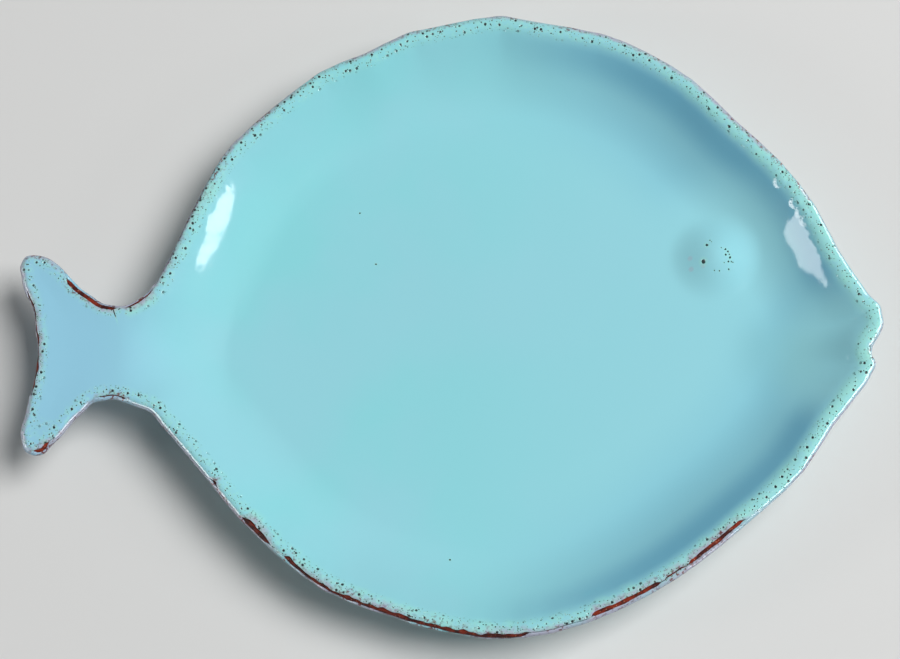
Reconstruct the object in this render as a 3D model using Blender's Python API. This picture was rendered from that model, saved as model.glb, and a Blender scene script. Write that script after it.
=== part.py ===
"""Fish-shaped salad plate: a terracotta dish, its foot ring and eye, and three coats of glaze.

Metres, +Z up. The head points to +X, the back to +Y, and the plate stands on z = 0. The plan is
drawn from the middle of the tail stem, and an empty carries it to the centre of the plate.
"""
import math

import bmesh
import bpy
from mathutils import Vector
from mathutils.geometry import delaunay_2d_cdt, interpolate_bezier, intersect_point_line

# Plan of the fish, from the middle of the tail stem, where the long axis of the fish starts
BODY_LENGTH = 0.2337      # to the tip of the upper lip
BACK_RISE = 0.1101        # long axis to the top of the back
BELLY_DROP = 0.0883       # long axis to the bottom of the belly
STEM_WIDTH = 0.0298       # narrowest width, between body and tail
TAIL_REACH = 0.0318       # to the end of the upper tail lobe
TAIL_RISE = 0.0314        # long axis to the top of the upper lobe
TAIL_DROP = 0.0326        # long axis to the bottom of the lower lobe
FORK_DEPTH = 0.0066       # how far the hind edge of the tail curves in
LIP_RISE = 0.0088         # long axis to the tip of the upper lip
LIP_DROP = 0.0038         # long axis to the tip of the lower lip
UNDERBITE = 0.0026        # lower lip behind the upper lip
MOUTH_DEPTH = 0.0037      # notch between the lips, behind the upper lip

# Section through the dish
WELL_DEPTH = 0.0135       # floor of the well to the rim
WALL_RUN = 0.0250         # width of the sloping wall
BULGE_SHARE = 0.5         # how far the wall bulges: 0 is a parabola, 1 hangs out below the rim
TAIL_DISH = 0.0012        # how far the middle of the tail lies below its edge
TAIL_RUN = 0.0070         # width of the tail's raised edge
RAMP_LENGTH = 0.0340      # slope from the stem down to the floor of the well
FLOOR_THICKNESS = 0.0050
LIP_THICKNESS = 0.0030
GLAZE_THICKNESS = 0.0005
SLIP_GAP = 0.0003         # clearance between a coat or a luted piece and the clay
FACE_EDGE = math.radians(62)    # where the face coat ends on the round of the rim
BACK_EDGE = math.radians(38)    # where the back coat ends, below the bare line of the rim

# Foot ring under the well
FOOT_HEIGHT = 0.0050
FOOT_WIDTH = 0.0062
FOOT_SETBACK = 0.0120     # foot of the wall to the outside of the ring
RAMP_SETBACK = 0.0250     # foot of the ramp to the outside of the ring
FOOT_ROUND = 0.0012       # rounding of the edges that it stands on

# Eye
EYE_FROM_LIP = 0.0503     # tip of the upper lip back to the middle of the eye
EYE_RISE = 0.0335         # long axis to the middle of the eye
EYE_RADIUS = 0.0082
EYE_HEIGHT = 0.0028
EYE_EDGE = 0.0004         # height of the pellet's edge
EYE_FLARE = 0.0030        # width over which the glaze runs from the pellet down to the floor

# What follows from these sizes: levels of the middle of the clay, and the middle of the eye
FLOOR_LEVEL = FOOT_HEIGHT + FLOOR_THICKNESS / 2
RIM_LEVEL = FLOOR_LEVEL + WELL_DEPTH
EYE = Vector((BODY_LENGTH - EYE_FROM_LIP, EYE_RISE))

# The outline as shares: along the body or tail, out from the stem's edge to the widest point, and
# the place along the body that this stretch of the rim faces
BACK_SHARES = (
    (0.997, -0.004, 0.650), (0.982, 0.038, 0.648), (0.945, 0.184, 0.640), (0.916, 0.332, 0.630),
    (0.871, 0.486, 0.620), (0.812, 0.630, 0.605), (0.757, 0.768, 0.590), (0.700, 0.862, 0.575),
    (0.640, 0.930, 0.560), (0.555, 0.974, 0.535), (0.500, 1.000, 0.520), (0.433, 0.974, 0.505),
    (0.374, 0.942, 0.490), (0.315, 0.868, 0.475), (0.256, 0.804, 0.460), (0.142, 0.556, 0.420),
    (0.104, 0.403, 0.350), (0.051, 0.105, 0.160), (0.028, 0.028, 0.060),
)
BELLY_SHARES = (
    (0.043, 0.048, 0.080), (0.071, 0.144, 0.180), (0.121, 0.328, 0.360), (0.169, 0.510, 0.420),
    (0.220, 0.661, 0.450), (0.278, 0.799, 0.470), (0.335, 0.876, 0.485), (0.391, 0.936, 0.500),
    (0.447, 0.980, 0.515), (0.517, 1.000, 0.530), (0.615, 0.931, 0.555), (0.727, 0.752, 0.585),
    (0.839, 0.466, 0.610), (0.893, 0.299, 0.625), (0.931, 0.113, 0.635), (0.977, -0.076, 0.645),
)
UPPER_LOBE_SHARES = (
    (0.170, 0.060), (0.400, 0.370), (0.630, 0.820), (0.720, 0.940), (0.840, 1.000), (0.960, 0.960),
    (1.000, 0.790), (0.960, 0.376), (0.850, -0.133),
)
LOWER_LOBE_SHARES = (
    (0.842, 0.006), (0.900, 0.660), (0.858, 0.915), (0.763, 1.000), (0.678, 0.980), (0.510, 0.667),
    (0.372, 0.345), (0.192, 0.040),
)
HEAD_KEEL = 0.650         # the place along the body that the mouth faces
KEEL_BEND = 0.400         # the keel line rises from the stem up to here
TAIL_HUB = 0.0060         # the point behind the stem that the edge of the tail faces

# Mesh density
OUTLINE_STEP = 0.0095
RING_SHARES = (0.07, 0.15, 0.23, 0.31, 0.48, 0.70)
EYE_RINGS = 3
EYE_SIDES = 16
FOOT_SIDES = 64
LIP_STEP = math.radians(38)
SHARP_ANGLE = math.radians(50)
ROUNDING_SHARE = 0.001    # share by which a point on a circle may miss it


def outline_knots():
    """Points that the outline runs through, counter-clockwise from the upper lip, with their keel place."""
    half_stem = STEM_WIDTH / 2
    head_keel = BODY_LENGTH * HEAD_KEEL
    knots = [Vector((BODY_LENGTH, LIP_RISE, head_keel))]
    for along, out, keel in BACK_SHARES:
        rise = half_stem + (BACK_RISE - half_stem) * out
        knots.append(Vector((BODY_LENGTH * along, rise, BODY_LENGTH * keel)))
    knots.append(Vector((0, half_stem, 0)))
    for along, out in UPPER_LOBE_SHARES:
        rise = half_stem + (TAIL_RISE - half_stem) * out
        knots.append(Vector((-TAIL_REACH * along, rise, -TAIL_HUB)))
    knots.append(Vector((FORK_DEPTH - TAIL_REACH, 0, -TAIL_HUB)))
    for along, out in LOWER_LOBE_SHARES:
        drop = half_stem + (TAIL_DROP - half_stem) * out
        knots.append(Vector((-TAIL_REACH * along, -drop, -TAIL_HUB)))
    knots.append(Vector((0, -half_stem, 0)))
    for along, out, keel in BELLY_SHARES:
        drop = half_stem + (BELLY_DROP - half_stem) * out
        knots.append(Vector((BODY_LENGTH * along, -drop, BODY_LENGTH * keel)))
    knots.append(Vector((BODY_LENGTH - UNDERBITE, -LIP_DROP, head_keel)))
    knots.append(Vector((BODY_LENGTH - MOUTH_DEPTH, 0, head_keel)))
    return knots


def smooth_outline(knots):
    """Plan points on a smooth closed curve through the knots, and the keel point that each one faces."""
    count = len(knots)
    points = []
    targets = []
    for index in range(count):
        before, here, after, beyond = (knots[(index + step) % count] for step in (-1, 0, 1, 2))
        chord = (after.xy - here.xy).length
        leave = here.xy + (after.xy - before.xy).normalized() * chord / 3
        arrive = after.xy - (beyond.xy - here.xy).normalized() * chord / 3
        steps = max(1, round(chord / OUTLINE_STEP))
        curve = interpolate_bezier(here.xy, leave, arrive, after.xy, steps + 1)
        for step in range(steps):
            points.append(curve[step])
            targets.append(keel_point(here.z + (after.z - here.z) * step / steps))
    return points, targets


def keel_point(along):
    """Point of the line, halfway between back and belly, that the rim is drawn in towards."""
    bend = min(max(along / (BODY_LENGTH * KEEL_BEND), 0), 1)
    return Vector((along, bend * (BACK_RISE - BELLY_DROP) / 2))


def tangents(loop):
    """Unit direction along a closed loop of points at each of them."""
    count = len(loop)
    return [(loop[(index + 1) % count] - loop[index - 1]).normalized() for index in range(count)]


def drawn_in(loop, distance):
    """A counter-clockwise plan loop moved inwards by a distance."""
    return [point + Vector((-along.y, along.x)) * distance for point, along in zip(loop, tangents(loop))]


def rim_distance(point, rim):
    """Shortest plan distance from a point to the rim."""
    nearest = math.inf
    for index, start in enumerate(rim):
        end = rim[(index + 1) % len(rim)]
        _, share = intersect_point_line(point, start, end)
        foot = start.lerp(end, min(max(share, 0), 1))
        nearest = min(nearest, (point - foot).length)
    return nearest


def section(point, rim):
    """Height of the middle of the clay over a plan point, and half the clay's thickness there."""
    ramp = min(max(1 - point.x / RAMP_LENGTH, 0), 1)
    tail = ramp * ramp * (3 - 2 * ramp)
    floor = FLOOR_LEVEL + (RIM_LEVEL - TAIL_DISH - FLOOR_LEVEL) * tail
    run = WALL_RUN + (TAIL_RUN - WALL_RUN) * tail
    inward = min(rim_distance(point, rim) / run, 1)
    rise = (1 - inward) ** 2 * (1 + BULGE_SHARE * inward)
    thickness = FLOOR_THICKNESS + (LIP_THICKNESS - FLOOR_THICKNESS) * rise
    return floor + (RIM_LEVEL - floor) * rise, thickness / 2


def eye_circles():
    """Plan circles round the middle of the eye: over the pellet, then the edge of the glaze's flare."""
    radii = [EYE_RADIUS * ring / EYE_RINGS for ring in range(1, EYE_RINGS + 1)]
    radii.append(EYE_RADIUS + EYE_FLARE)
    circles = []
    for radius in radii:
        angles = [math.tau * side / EYE_SIDES for side in range(EYE_SIDES)]
        circles.append([EYE + Vector((math.cos(angle), math.sin(angle))) * radius for angle in angles])
    return circles


def pellet_height(point):
    """Height of the eye pellet above its seat, nothing beside it."""
    share = (point - EYE).length / EYE_RADIUS
    if share > 1 + ROUNDING_SHARE:
        return 0
    return EYE_EDGE + (EYE_HEIGHT - EYE_EDGE) * (1 - share * share)


class Sheet:
    """The middle surface of the clay: plan points, triangles, heights, normals and half thickness."""

    def __init__(self, rim, targets):
        points = list(rim)
        clear = EYE_RADIUS + EYE_FLARE * 2
        for share in RING_SHARES:
            for start, target in zip(rim, targets):
                point = start.lerp(target, share)
                if (point - EYE).length > clear:
                    points.append(point)
        points.append(EYE)
        for circle in eye_circles():
            points.extend(circle)
        outline = list(range(len(rim)))
        merge = SLIP_GAP / 10
        plan, _, triangles, _, _, _ = delaunay_2d_cdt(points, [], [outline], 1, merge)
        self.plan = plan
        self.triangles = triangles
        sections = [section(point, rim) for point in plan]
        self.half = [half for _, half in sections]
        self.middle = [Vector((*point, height)) for point, (height, _) in zip(plan, sections)]
        mesh = bmesh.new()
        verts = [mesh.verts.new(point) for point in self.middle]
        for triangle in triangles:
            mesh.faces.new([verts[index] for index in triangle])
        mesh.normal_update()
        self.normal = [vert.normal.copy() for vert in verts]
        mesh.free()
        self.rim = range(len(rim))
        loop = [self.middle[index] for index in self.rim]
        self.outward = [along.cross(self.normal[index]) for index, along in enumerate(tangents(loop))]

    def skin(self, side, lift, swell=False):
        """Points over (side 1) or under (side -1) the clay, lifted off it, over the eye if it swells."""
        skin = []
        for point, middle, normal, half in zip(self.plan, self.middle, self.normal, self.half):
            over = lift
            pellet = pellet_height(point) if swell else 0
            if pellet:
                over += pellet + SLIP_GAP
            skin.append(middle + normal * side * (half + over))
        return skin

    def lip(self, angle, lift):
        """Ring of points on the round of the rim, lifted off the clay."""
        ring = []
        for index in self.rim:
            around = self.outward[index] * math.cos(angle) + self.normal[index] * math.sin(angle)
            ring.append(self.middle[index] + around * (self.half[index] + lift))
        return ring


def lip_angles(start, end):
    """Angles round the rim between two ends, both left out."""
    steps = math.ceil(abs(end - start) / LIP_STEP)
    return [start + (end - start) * step / steps for step in range(1, steps)]


def closed_solid(sheet, first, rings, last):
    """Mesh between two skins of the sheet, joined round their rims by the rings between them."""
    mesh = bmesh.new()
    skins = []
    for points in (first, last):
        verts = [mesh.verts.new(point) for point in points]
        for triangle in sheet.triangles:
            mesh.faces.new([verts[index] for index in triangle])
        skins.append([verts[index] for index in sheet.rim])
    loops = [skins[0]]
    loops += [[mesh.verts.new(point) for point in ring] for ring in rings]
    loops.append(skins[1])
    strip_faces(mesh, loops)
    return mesh


def strip_faces(mesh, loops):
    """Join each closed loop of vertices to the next one with a strip of triangles."""
    quads = []
    for near, far in zip(loops, loops[1:]):
        for index in range(len(near)):
            quads.append(mesh.faces.new((near[index - 1], near[index], far[index], far[index - 1])))
    bmesh.ops.triangulate(mesh, faces=quads, quad_method="FIXED")


def coat(sheet, side, edge):
    """A coat of glaze on one side of the clay, from its middle out to an angle on the round of the rim."""
    near = SLIP_GAP
    far = SLIP_GAP + GLAZE_THICKNESS
    swell = side > 0
    angles = lip_angles(side * math.pi / 2, edge) + [edge]
    rings = [sheet.lip(angle, far) for angle in angles]
    rings += [sheet.lip(angle, near) for angle in reversed(angles)]
    return closed_solid(sheet, sheet.skin(side, far, swell), rings, sheet.skin(side, near, swell))


def clay_body(sheet):
    """The dish itself, with its round rim."""
    rings = [sheet.lip(angle, 0) for angle in lip_angles(math.pi / 2, -math.pi / 2)]
    return closed_solid(sheet, sheet.skin(1, 0), rings, sheet.skin(-1, 0))


def eye_pellet(rim):
    """Clay dome on the floor of the well: a base, a low edge and a crown."""
    mesh = bmesh.new()
    seats = []
    crowns = []
    for circle in [[EYE]] + eye_circles()[:EYE_RINGS]:
        seat = []
        for point in circle:
            height, half = section(point, rim)
            seat.append(Vector((*point, height + half + SLIP_GAP)))
        lifts = [Vector((0, 0, pellet_height(point))) for point in circle]
        seats.append([mesh.verts.new(point) for point in seat])
        crowns.append([mesh.verts.new(point + lift) for point, lift in zip(seat, lifts)])
    strip_faces(mesh, crowns[1:] + seats[:0:-1])
    for middle, ring in ((crowns[0][0], crowns[1]), (seats[0][0], seats[1])):
        for index in range(EYE_SIDES):
            mesh.faces.new((middle, ring[index - 1], ring[index]))
    return mesh


def oval(grow):
    """Plan points of the foot ring's outside, moved out by a distance."""
    hind = RAMP_LENGTH + RAMP_SETBACK
    front = BODY_LENGTH - WALL_RUN - FOOT_SETBACK
    top = BACK_RISE - WALL_RUN - FOOT_SETBACK
    bottom = WALL_RUN + FOOT_SETBACK - BELLY_DROP
    middle = Vector(((hind + front) / 2, (bottom + top) / 2))
    points = []
    for side in range(FOOT_SIDES):
        angle = math.tau * side / FOOT_SIDES
        reach = Vector(((front - hind) / 2 + grow, (top - bottom) / 2 + grow))
        points.append(middle + Vector((math.cos(angle) * reach.x, math.sin(angle) * reach.y)))
    return points


def foot_ring(rim):
    """Coil under the well, rounded where it stands and following the clay above."""
    mesh = bmesh.new()
    loops = []
    for grow, height in ((0, FOOT_ROUND), (-FOOT_ROUND, 0), (FOOT_ROUND - FOOT_WIDTH, 0),
                         (-FOOT_WIDTH, FOOT_ROUND)):
        loops.append([mesh.verts.new((*point, height)) for point in oval(grow)])
    for grow in (-FOOT_WIDTH, 0):
        loop = []
        for point in oval(grow):
            height, half = section(point, rim)
            loop.append(mesh.verts.new((*point, height - half - SLIP_GAP)))
        loops.append(loop)
    strip_faces(mesh, loops + loops[:1])
    return mesh


def prism(loop, low, high):
    """Upright prism on a plan loop."""
    mesh = bmesh.new()
    base = mesh.faces.new([mesh.verts.new((*point, low)) for point in loop])
    raised = bmesh.ops.extrude_face_region(mesh, geom=[base])["geom"]
    top = [item for item in raised if isinstance(item, bmesh.types.BMVert)]
    bmesh.ops.translate(mesh, verts=top, vec=(0, 0, high - low))
    return mesh


def paint(name, colour, roughness):
    """A Principled material."""
    material = bpy.data.materials.new(name)
    material.use_nodes = True
    shader = material.node_tree.nodes["Principled BSDF"]
    shader.inputs["Base Color"].default_value = (*colour, 1)
    shader.inputs["Roughness"].default_value = roughness
    shader.inputs["Metallic"].default_value = 0
    return material


def add_object(name, mesh, origin, material=None):
    """Object from a bmesh, in the plate's frame. One with no material is a guide for cutting."""
    bmesh.ops.recalc_face_normals(mesh, faces=mesh.faces)
    data = bpy.data.meshes.new(name)
    mesh.to_mesh(data)
    mesh.free()
    piece = bpy.data.objects.new(name, data)
    bpy.context.collection.objects.link(piece)
    piece.parent = origin
    if material:
        data.materials.append(material)
        data.shade_smooth()
        data.set_sharp_from_angle(angle=SHARP_ANGLE)
    else:
        piece.hide_render = True
        piece.display_type = "WIRE"
    return piece


def cut(piece, guide, operation):
    """Boolean of a piece with a guide."""
    boolean = piece.modifiers.new(guide.name, "BOOLEAN")
    boolean.operation = operation
    boolean.object = guide


def main():
    for old in list(bpy.data.objects):
        bpy.data.objects.remove(old, do_unlink=True)
    outline, targets = smooth_outline(outline_knots())
    low = Vector((min(point.x for point in outline), min(point.y for point in outline)))
    high = Vector((max(point.x for point in outline), max(point.y for point in outline)))
    origin = bpy.data.objects.new("plate_origin", None)
    bpy.context.collection.objects.link(origin)
    origin.location = (*(low + high) / -2, 0)
    rim = drawn_in(outline, LIP_THICKNESS / 2 + SLIP_GAP + GLAZE_THICKNESS)
    sheet = Sheet(rim, targets)

    terracotta = paint("terracotta", (0.40, 0.11, 0.06), 0.85)
    add_object("clay_body", clay_body(sheet), origin, terracotta)
    add_object("foot_ring", foot_ring(rim), origin, paint("bare_terracotta", (0.45, 0.14, 0.08), 0.9))
    add_object("eye_pellet", eye_pellet(rim), origin, paint("pellet_clay", (0.38, 0.10, 0.05), 0.85))
    aqua = paint("aqua_glaze", (0.29, 0.66, 0.75), 0.12)
    add_object("face_glaze", coat(sheet, 1, FACE_EDGE), origin, aqua)
    back_paint = paint("back_glaze", (0.33, 0.60, 0.70), 0.15)
    back = add_object("back_glaze", coat(sheet, -1, BACK_EDGE), origin, back_paint)
    recess_paint = paint("recess_glaze", (0.33, 0.60, 0.70), 0.18)
    recess = add_object("recess_glaze", coat(sheet, -1, BACK_EDGE), origin, recess_paint)
    around = prism(oval(SLIP_GAP), 0, RIM_LEVEL)
    cut(back, add_object("around_foot", around, origin), "DIFFERENCE")
    inside = prism(oval(-FOOT_WIDTH - SLIP_GAP), 0, RIM_LEVEL)
    cut(recess, add_object("inside_foot", inside, origin), "INTERSECT")


main()
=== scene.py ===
"""Fish-shaped salad plate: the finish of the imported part, laid out as an add-on and run as a script.

Metres, +Z up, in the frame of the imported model: the head points to +X, the back to +Y, and the plate
stands on z = 0. Angles round the rim's edge are 90 degrees on the food side and -90 underneath.
"""
import functools
import math

import bmesh
import bpy
import numpy as np
from bpy.props import FloatProperty, FloatVectorProperty, IntProperty, PointerProperty
from mathutils import Euler, Matrix, Vector, noise
from mathutils.geometry import interpolate_bezier


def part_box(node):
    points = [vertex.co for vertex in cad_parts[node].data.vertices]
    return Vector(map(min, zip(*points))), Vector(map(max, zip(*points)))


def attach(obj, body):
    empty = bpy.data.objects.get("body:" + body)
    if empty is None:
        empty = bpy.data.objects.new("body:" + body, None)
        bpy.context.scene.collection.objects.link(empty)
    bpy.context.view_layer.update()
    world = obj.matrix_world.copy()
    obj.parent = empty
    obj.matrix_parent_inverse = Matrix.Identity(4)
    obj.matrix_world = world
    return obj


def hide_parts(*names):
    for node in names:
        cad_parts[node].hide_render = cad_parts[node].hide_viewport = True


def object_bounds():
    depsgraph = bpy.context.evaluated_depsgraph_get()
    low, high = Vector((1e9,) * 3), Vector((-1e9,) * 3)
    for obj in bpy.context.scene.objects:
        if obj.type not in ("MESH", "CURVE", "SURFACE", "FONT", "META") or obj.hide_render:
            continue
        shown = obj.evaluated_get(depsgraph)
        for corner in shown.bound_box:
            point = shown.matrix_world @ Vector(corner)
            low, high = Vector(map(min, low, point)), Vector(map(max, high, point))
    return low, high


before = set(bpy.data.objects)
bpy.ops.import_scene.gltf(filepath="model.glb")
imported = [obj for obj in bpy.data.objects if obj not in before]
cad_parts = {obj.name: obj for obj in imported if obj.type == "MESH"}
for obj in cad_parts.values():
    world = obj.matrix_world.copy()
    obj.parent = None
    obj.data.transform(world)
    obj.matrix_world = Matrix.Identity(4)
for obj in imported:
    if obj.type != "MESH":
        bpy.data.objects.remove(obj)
CAD_BOX = [list(corner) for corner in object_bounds()]

bl_info = {
    "name": "Fish Plate",
    "version": (1, 0, 0),
    "blender": (4, 5, 0),
    "location": "3D View > Sidebar > Plate",
    "description": "Models the clay, the coats of glaze and the stage of a fish-shaped salad plate",
    "category": "Object",
}

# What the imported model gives: levels of the clay, the foot's oval and the eye
FOOT_LOW, FOOT_HIGH = (Vector(corner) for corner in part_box("foot_ring"))
FOOT_MIDDLE = (FOOT_LOW + FOOT_HIGH).xy / 2
FOOT_REACH = (FOOT_HIGH - FOOT_LOW).xy / 2
EYE_LOW, EYE_HIGH = (Vector(corner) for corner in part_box("eye_pellet"))
EYE_MIDDLE = (EYE_LOW + EYE_HIGH).xy / 2
CLAY_BASE = Vector(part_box("clay_body")[0]).z

# Places where the two coats meet off the crest of the rim: where they start and end as shares of the way
# round from the mouth over the back, how wide the clay shows (m), and how far they lie towards the food
# side (degrees)
BARE_PLACES = (
    (-0.0300, 0.0600, 0, -30),
    (0.3480, 0.4090, 0.0015, -21),
    (0.4095, 0.4235, 0.0019, -4),
    (0.4245, 0.4500, 0.0026, 6),
    (0.4880, 0.5330, 0.0024, -30),
    (0.5040, 0.5325, 0.0031, 0),
    (0.5590, 0.5690, 0.0018, 0),
    (0.5700, 0.5935, 0, -24),
    (0.5940, 0.6060, 0.0005, -6),
    (0.6065, 0.6535, 0, -24),
    (0.6540, 0.6580, 0.0014, 4),
    (0.6585, 0.6740, 0, -20),
    (0.6990, 0.8025, 0.0019, -12),
    (0.6735, 0.6905, 0.0033, -16),
    (0.6965, 0.7045, 0.0024, -2),
    (0.7065, 0.7170, 0.0030, -8),
    (0.7185, 0.7325, 0.0032, -14),
    (0.7320, 0.7385, 0.0014, -10),
    (0.7385, 0.7565, 0.0034, -12),
    (0.7555, 0.7660, 0.0024, -12),
    (0.7645, 0.8010, 0.0034, -23),
    (0.8020, 0.8260, 0.0003, -6),
    (0.8265, 0.9000, 0.0003, 8),
    (0.8265, 0.8580, 0.0017, 2),
    (0.8590, 0.8690, 0.0005, 12),
    (0.8700, 0.8990, 0.0015, 8),
    (0.9050, 0.9830, 0, -34),
    (0.9840, 0.9895, 0.0014, -38),
    (0.9900, 1.0300, 0, -30),
)
# Single marks in the face: middle and half axes (m), and how far they are turned (degrees)
MARKS = (
    ((0.0786, 0.0203, 0.0118), (0.0007, 0.0008, 0.006), 0),
    ((0.0797, 0.0256, 0.0118), (0.0005, 0.0005, 0.006), 0),
    ((0.0854, 0.0242, 0.0118), (0.00035, 0.00035, 0.006), 0),
    ((0.0862, 0.0235, 0.0118), (0.00035, 0.0004, 0.006), 0),
    ((0.0855, 0.0224, 0.0118), (0.0004, 0.00035, 0.006), 0),
    ((0.0868, 0.0216, 0.0118), (0.00035, 0.0005, 0.006), 20),
    ((0.0863, 0.0203, 0.0118), (0.0003, 0.00035, 0.006), 0),
    ((0.0872, 0.0204, 0.0118), (0.0002, 0.0003, 0.006), 0),
    ((0.0864, 0.0180, 0.0118), (0.00025, 0.0003, 0.006), 0),
    ((0.0877, 0.0202, 0.0118), (0.0002, 0.0002, 0.006), 0),
    ((0.0850, 0.0199, 0.0118), (0.0002, 0.0002, 0.006), 0),
    ((0.0820, 0.0175, 0.0118), (0.0002, 0.0002, 0.006), 0),
    ((0.0835, 0.0174, 0.0118), (0.0002, 0.00025, 0.006), 0),
    ((0.0807, 0.0273, 0.0118), (0.0002, 0.0002, 0.006), 0),
    ((0.0812, 0.0267, 0.0118), (0.00015, 0.0002, 0.006), 0),
    ((0.0866, 0.0226, 0.0118), (0.0002, 0.00025, 0.006), 0),
    ((0.0841, 0.0246, 0.0118), (0.0002, 0.0002, 0.006), 0),
    ((-0.0284, 0.0374, 0.0108), (0.00025, 0.00025, 0.006), 0),
    ((-0.0230, 0.0207, 0.0108), (0.00035, 0.00025, 0.006), 0),
    ((0.0015, -0.0731, 0.0120), (0.0003, 0.0003, 0.003), 0),
    ((-0.1022, 0.0012, 0.0228), (0.0002, 0.0019, 0.006), -20),
)
# Pale spots beside the eye
SPOTS = ((0.0746, 0.0218, 0.0118), (0.0749, 0.0184, 0.0118), (0.0786, 0.0191, 0.0118))
# Small swellings by the rim that catch the light
GLINTS = (
    (0.1021, 0.0436, 0.0225), (0.1069, 0.0368, 0.0225), (0.1087, 0.0335, 0.0225), (0.1099, 0.0312, 0.0225),
)
# Sizes of the swellings and the spots: half axes (m)
GLINT_REACH = (0.0009, 0.0009, 0.004)
SPOT_REACH = (0.00042, 0.00042, 0.002)
# Where the painted shade of the wall stops, by the eye and inside the mouth, and the middle of the painted
# shade in front of the mouth
EYE_PLACE = (*EYE_MIDDLE, 0.013)
MOUTH = (0.1217, -0.0104, 0.0180)
MOUTH_SHADE_MIDDLE = (0.1021, -0.0086, 0.0115)
# Layers of scattered pinholes: cells to the metre, size of a hole in its cell, and how many cells have one
PINHOLES = ((500.0, 0.27, 0.66), (860.0, 0.23, 0.74), (1350.0, 0.23, 0.60))

# What the vertices note for the materials
RIM_WAY = "rim_way"               # how far a point lies inside the crest of the rim (m)
EDGE_WAY = "edge_way"             # how far it lies from the edge of its coat (m)
BARE = "bare"                     # how bare the rim is there, from 0 to 1
ATTRIBUTES = (RIM_WAY, EDGE_WAY, BARE)
FAR_FROM_RIM = 0.05               # distance noted on pieces that don't reach the rim (m)

# The glaze. The pairs say where something starts and where it is whole. Lengths in metres
FACE_GLAZE = "aqua_glaze"         # material of the food side, which has the marks
TONES = ("aqua", "green", "blue", "wall_shade", "pool", "mint", "lilac", "rust")
GREEN_REACH = (0.080, -0.050)     # along the fish: green clouds
TAIL_REACH = (-0.075, -0.112)     # along the fish: the blue of the tail
HEAD_REACH = (0.050, 0.095)       # along the fish: the stronger mint of the head
HEAD_WALL = (0.000, 0.070)        # along the fish: painted shade on the head's wall, which faces away from the key light
WALL_TOP = (0.0015, 0.0050)       # way in from the crest: that painted shade below the rim
WALL_FOOT = (0.044, 0.018)        # way in: its end in the well
WALL_STEEP = (0.014, 0.006)       # way in: where it is strongest
EYE_CLEAR = (0.013, 0.032)        # distance from the eye: where that painted shade starts
MOUTH_CLEAR = (0.0125, 0.029)     # distance from the mouth: where that painted shade starts
MOUTH_SHADE_REACH = (0.019, 0.002)       # distance from the middle of the painted shade in front of the mouth: that shade
MOUTH_SHADE_STRENGTH = 0.42              # how strong that painted shade is in its middle
MINT_START = (-0.001, 0.001)      # way in: mint on the crest
MINT_REACH = (0.0046, 0.0010)     # way in: its end on the wall
RUST_SIDE = (0.015, 0.045)        # across the fish: more rust on the side of its back
FACE_THIN = 0.0016                # how far from its edge the face coat is thin
BACK_THIN = 0.009                 # how far from its edge the coat underneath is thin
HOLES_START = (-0.0006, 0.0003)   # way in: pinholes on the crest
HOLES_END = (0.0036, 0.0020)      # way in: their end on the wall
HOLE_DEPTH = 0.00025              # depth of a pinhole or a mark
HOLE_DULL = 0.35                  # roughness that it adds
HALO_STRENGTH = 0.45              # how mint the halo round it is
SPOT_STRENGTH = 0.40              # how strong the pale spots are
GLINT_HEIGHT = 0.00022            # height of the small swellings
RIPPLE_REACH = (0.016, 0.002)     # way in: ripples on the wall
RIPPLE_HEIGHT = 0.00006           # height of the ripples
SWELL_HEIGHT = 0.00008            # height of the slow swell everywhere

# The clay
GRIT_HEIGHT = 0.00012             # height of its grit (m)
LUMP_HEIGHT = 0.00020             # height of its lumps (m)
CLAY_ROUGHNESS = 0.75
CLAY_SHINE = 0.12                 # how strongly it mirrors
WIPED = 0.6                       # how sandy the clay of the foot is, which was wiped

# Form of the rim and the wall
CREST = math.radians(50)          # where the two coats meet on the round of the rim
WANDER = math.radians(4)          # how far that line wanders along the rim
INNERMOST = math.radians(84)      # how far in the face coat's edge may lie
BARE_START = 0.0008               # over what length a bare place opens at least (m)
BARE_SLANT = 0.7                  # how much of its width is added to that length
BARE_WIDTH = 0.0006               # the rim counts as bare where this much clay shows (m)
BARE_SPREAD = 0.006               # how far in from a bare place the glaze still breaks (m)
BEAD_THIN = 0.85                  # how much thinner a coat is at the edge of a bare place
WALL_BELLY = 0.3                  # how far the wall bulges behind: 0 is a parabola, 1 hangs out below the rim
HEAD_START = 0.06                 # from here on the wall of the head is a parabola (m)
SLOW_WAVES = 28                   # long waves of handwork to the metre
QUICK_WAVES = 95                  # short ones, near the rim
QUICK_SHARE = 0.6                 # how high the short ones are beside the long ones
LAND_WAVES = 60                   # waves to the metre in the land of the foot
FLARE = ((0.0004, 0), (0.0001, 0.0010), (0, 0.0022))    # how far the foot flares at depths below its top (m)

# Meshes
KNOT_SHARE = 0.30                 # how far apart the rim's knots are at least, of the lip's thickness
KNOT_POINTS = 9                   # points on the curve from one knot to the next
RELAXING = (0.5, -0.52) * 20      # how far each round pulls the rim's points together and apart again
SOFTNESS = 8                      # power with which a stretch of rim counts less as it lies further away
SOFT_LINE = 5 * math.pi / 16      # what that power sums to along a straight rim
WELD = 1e-6                       # points closer than this are one (m)
PARTS = 12                        # parts that a large sheet is worked out in
FACE_PITCH = 0.0012               # size of the quads in the glaze of the food side (m)
BACK_PITCH = 0.0016               # size of those underneath (m)
HIDDEN_PITCH = 0.0030             # size of those between the clay and the glaze (m)
CLEARANCE = 1.1                   # what stays free of them beside the rim, as a share of their size
RIM_ROWS = (0.0004, 0.0008, 0.0012)    # how far in the rows lie that follow the rim (m)
LIP_ROWS = 20                     # rows on the round of the clay's rim
SEAT_ROWS = 4                     # rows of a coat's edge on the clay
COAT_ROWS = 12                    # rows of a coat's edge on its outside
BEAD_ROWS = 3                     # how many of those its edge takes to get thick
RECESS_ROWS = 12                  # rows from the middle of the recess to its edge
FOOT_SIDES = 240                  # points round the foot's ovals
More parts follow.
